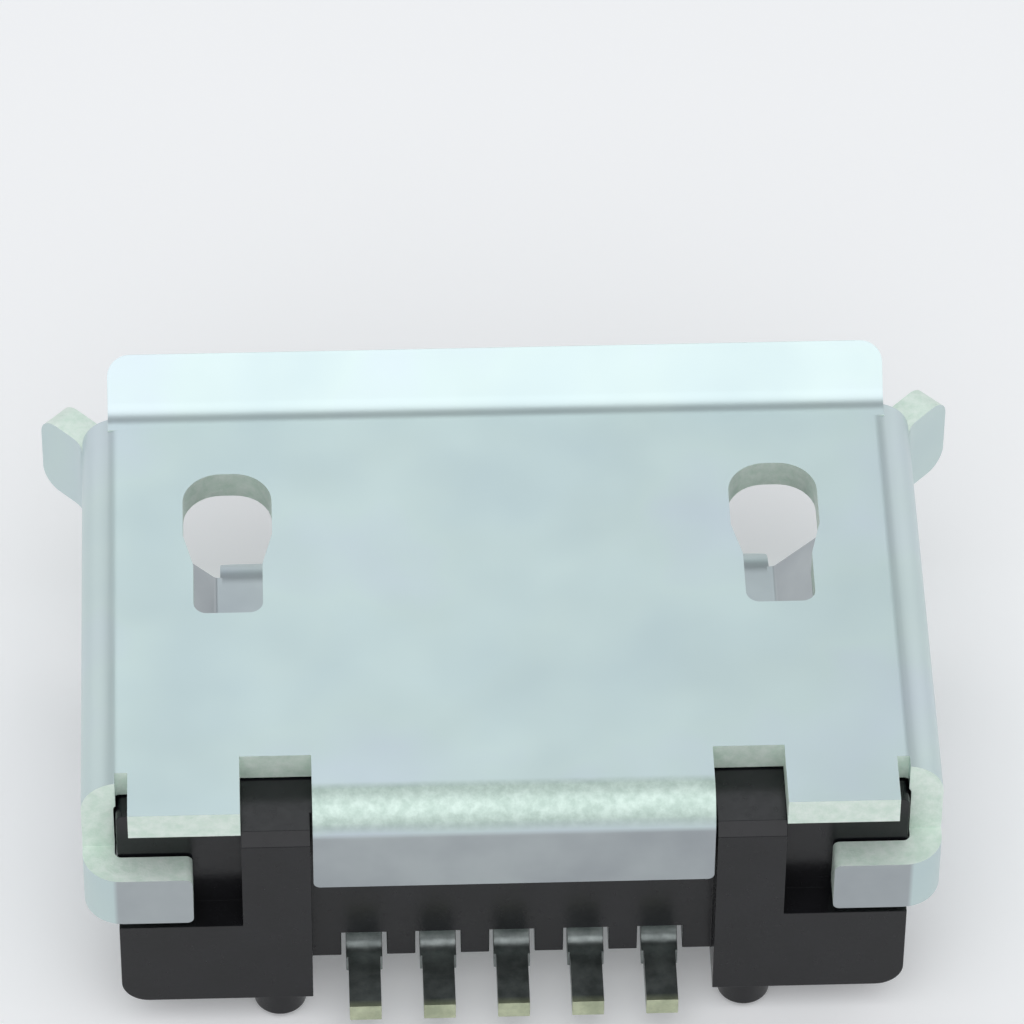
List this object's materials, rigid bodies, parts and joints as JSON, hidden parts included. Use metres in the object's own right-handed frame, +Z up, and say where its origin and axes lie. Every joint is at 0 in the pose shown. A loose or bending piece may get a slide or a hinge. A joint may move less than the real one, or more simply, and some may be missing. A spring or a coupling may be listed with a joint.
{
  "type": "micro plug socket",
  "caption": "Board-mounted micro plug charging and data socket: folded sheet shell with flared lips, black moulded housing with tongue, flat contacts with solder tails.",
  "frame": {"origin": "on the board plane, under the middle of the shell's floor", "axes": "+Z up from the board, -Y out of the mouth, +Y along the tails, X across the mouth"},
  "size_m": [0.0082, 0.0057, 0.0031],
  "materials": {
    "shell_sheet": "satin nickel-plated steel sheet",
    "housing_plastic": "black moulded plastic, fine spark-eroded grain in the mouth",
    "contact_metal": "plated copper alloy, pale gold at the tips and tin-grey on the tails"
  },
  "bodies": {
    "root": {"shell": "shell_sheet", "housing": "housing_plastic", "contact_1": "contact_metal", "contact_2": "contact_metal", "contact_3": "contact_metal", "contact_4": "contact_metal", "contact_5": "contact_metal"}
  },
  "joints": []
}
